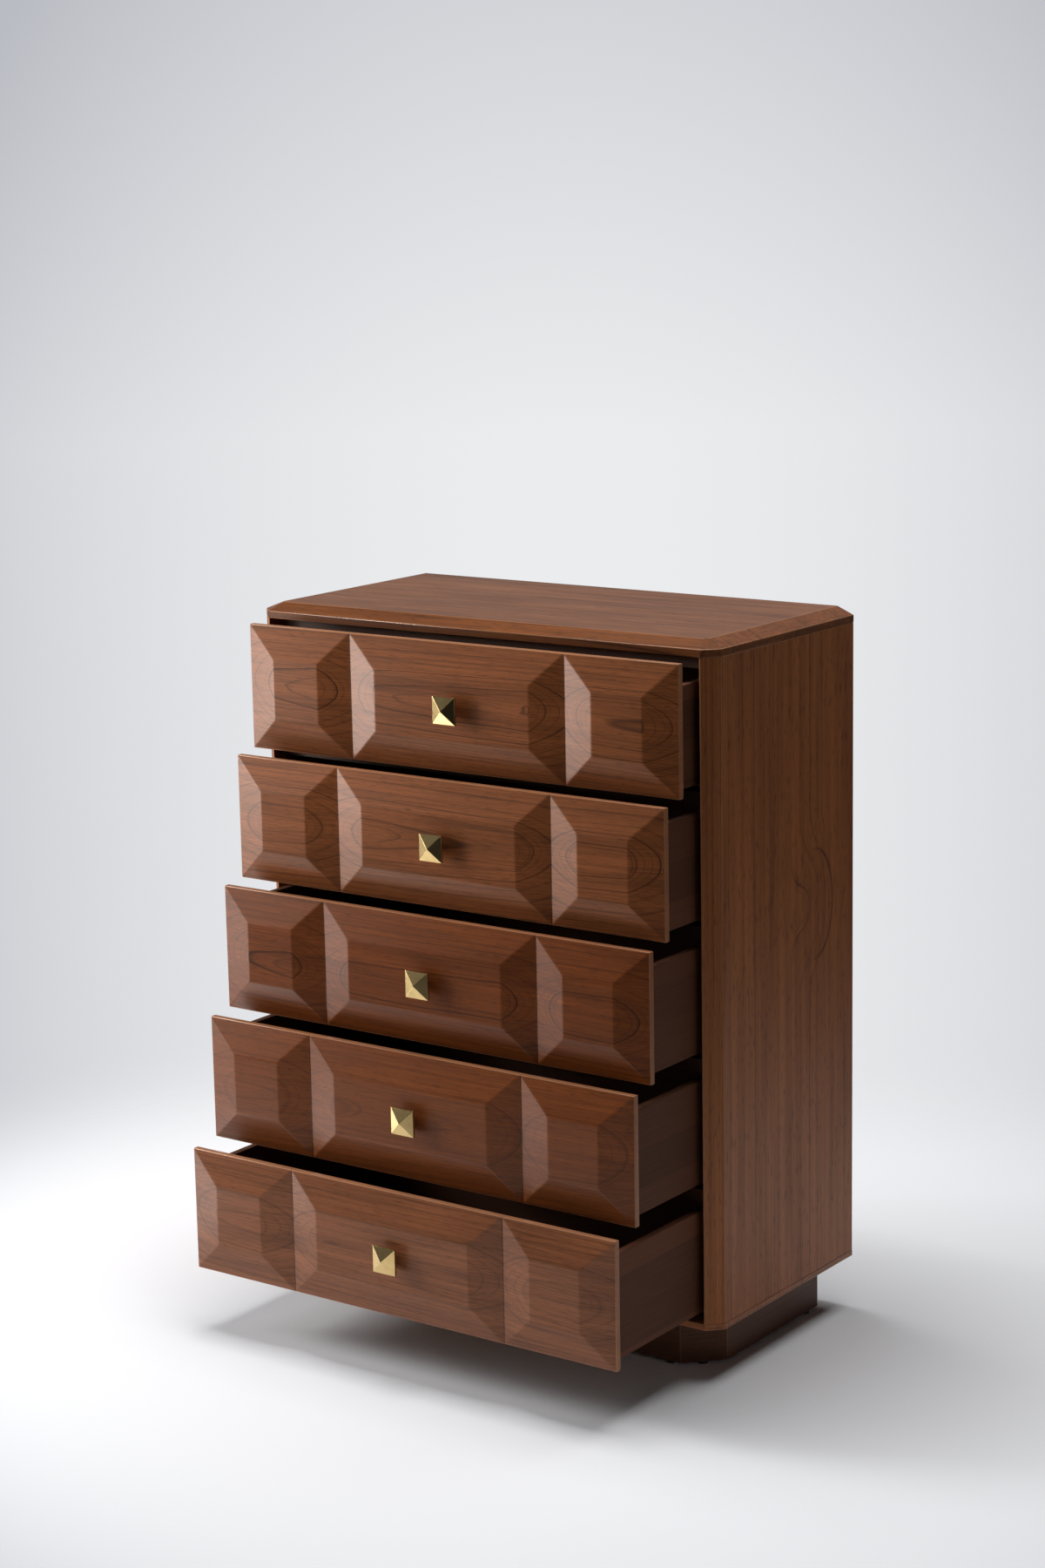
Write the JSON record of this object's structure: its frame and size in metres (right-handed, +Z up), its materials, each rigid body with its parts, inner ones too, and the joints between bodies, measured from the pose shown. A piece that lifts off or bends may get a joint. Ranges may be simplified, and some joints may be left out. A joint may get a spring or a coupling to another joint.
{
  "type": "chest of drawers",
  "caption": "Tall wooden chest of drawers with carved block fronts, square pyramid knobs, cut front corners and a plinth.",
  "frame": {"origin": "on the floor, under the middle of the case's plan", "axes": "+Z up, +Y to the back of the chest, +X to the right of someone who faces its drawers"},
  "size_m": [0.85, 0.6695, 1.127],
  "materials": {
    "front_walnut": "satin lacquer",
    "case_walnut": "satin lacquer",
    "plinth_walnut": "satin lacquer",
    "drawer_side_wood": "matt lacquer",
    "drawer_ply": "matt lacquer",
    "back_ply": "matt lacquer",
    "rail_wood": "matt lacquer",
    "knob_brass": "satin",
    "slide_steel": "zinc plated",
    "screw_steel": "zinc plated",
    "foot_plastic": "matt"
  },
  "bodies": {
    "case": {"top_panel": "case_walnut", "left_side_panel": "case_walnut", "right_side_panel": "case_walnut", "bottom_panel": "case_walnut", "back_panel": "back_ply", "back_screws": "screw_steel", "front_rails": "rail_wood", "glide_feet": "foot_plastic", "slide_cabinet_members": "slide_steel", "plinth_left": "plinth_walnut", "plinth_left_corner": "plinth_walnut", "plinth_front": "plinth_walnut", "plinth_right_corner": "plinth_walnut", "plinth_right": "plinth_walnut", "plinth_back": "plinth_walnut"},
    "drawer_1": {"drawer_1_front": "front_walnut", "drawer_1_left_side": "drawer_side_wood", "drawer_1_right_side": "drawer_side_wood", "drawer_1_back": "drawer_side_wood", "drawer_1_bottom": "drawer_ply", "drawer_1_knob": "knob_brass", "drawer_1_knob_screw": "screw_steel", "drawer_1_slide_runners": "slide_steel"},
    "drawer_1_middles": {"drawer_1_slide_middles": "slide_steel"},
    "drawer_2": {"drawer_2_front": "front_walnut", "drawer_2_left_side": "drawer_side_wood", "drawer_2_right_side": "drawer_side_wood", "drawer_2_back": "drawer_side_wood", "drawer_2_bottom": "drawer_ply", "drawer_2_knob": "knob_brass", "drawer_2_knob_screw": "screw_steel", "drawer_2_slide_runners": "slide_steel"},
    "drawer_2_middles": {"drawer_2_slide_middles": "slide_steel"},
    "drawer_3": {"drawer_3_front": "front_walnut", "drawer_3_left_side": "drawer_side_wood", "drawer_3_right_side": "drawer_side_wood", "drawer_3_back": "drawer_side_wood", "drawer_3_bottom": "drawer_ply", "drawer_3_knob": "knob_brass", "drawer_3_knob_screw": "screw_steel", "drawer_3_slide_runners": "slide_steel"},
    "drawer_3_middles": {"drawer_3_slide_middles": "slide_steel"},
    "drawer_4": {"drawer_4_front": "front_walnut", "drawer_4_left_side": "drawer_side_wood", "drawer_4_right_side": "drawer_side_wood", "drawer_4_back": "drawer_side_wood", "drawer_4_bottom": "drawer_ply", "drawer_4_knob": "knob_brass", "drawer_4_knob_screw": "screw_steel", "drawer_4_slide_runners": "slide_steel"},
    "drawer_4_middles": {"drawer_4_slide_middles": "slide_steel"},
    "drawer_5": {"drawer_5_front": "front_walnut", "drawer_5_left_side": "drawer_side_wood", "drawer_5_right_side": "drawer_side_wood", "drawer_5_back": "drawer_side_wood", "drawer_5_bottom": "drawer_ply", "drawer_5_knob": "knob_brass", "drawer_5_knob_screw": "screw_steel", "drawer_5_slide_runners": "slide_steel"},
    "drawer_5_middles": {"drawer_5_slide_middles": "slide_steel"}
  },
  "joints": [
    {"name": "drawer_1_slide", "type": "slide", "parent": "case", "child": "drawer_1", "axis": [0, -1, 0], "range_m": [-0.0635, 0.2665]},
    {"name": "drawer_1_middle_slide", "type": "slide", "parent": "case", "child": "drawer_1_middles", "axis": [0, -1, 0], "range_m": [-0.03175, 0.13325]},
    {"name": "drawer_2_slide", "type": "slide", "parent": "case", "child": "drawer_2", "axis": [0, -1, 0], "range_m": [-0.104, 0.226]},
    {"name": "drawer_2_middle_slide", "type": "slide", "parent": "case", "child": "drawer_2_middles", "axis": [0, -1, 0], "range_m": [-0.052, 0.113]},
    {"name": "drawer_3_slide", "type": "slide", "parent": "case", "child": "drawer_3", "axis": [0, -1, 0], "range_m": [-0.1463, 0.1837]},
    {"name": "drawer_3_middle_slide", "type": "slide", "parent": "case", "child": "drawer_3_middles", "axis": [0, -1, 0], "range_m": [-0.07315, 0.09185]},
    {"name": "drawer_4_slide", "type": "slide", "parent": "case", "child": "drawer_4", "axis": [0, -1, 0], "range_m": [-0.19, 0.14]},
    {"name": "drawer_4_middle_slide", "type": "slide", "parent": "case", "child": "drawer_4_middles", "axis": [0, -1, 0], "range_m": [-0.095, 0.07]},
    {"name": "drawer_5_slide", "type": "slide", "parent": "case", "child": "drawer_5", "axis": [0, -1, 0], "range_m": [-0.2431, 0.0869]},
    {"name": "drawer_5_middle_slide", "type": "slide", "parent": "case", "child": "drawer_5_middles", "axis": [0, -1, 0], "range_m": [-0.12155, 0.04345]}
  ],
  "couplings": [
    {"joint": "drawer_1_middle_slide", "follows": "drawer_1_slide", "ratio": 0.5},
    {"joint": "drawer_2_middle_slide", "follows": "drawer_2_slide", "ratio": 0.5},
    {"joint": "drawer_3_middle_slide", "follows": "drawer_3_slide", "ratio": 0.5},
    {"joint": "drawer_4_middle_slide", "follows": "drawer_4_slide", "ratio": 0.5},
    {"joint": "drawer_5_middle_slide", "follows": "drawer_5_slide", "ratio": 0.5}
  ]
}
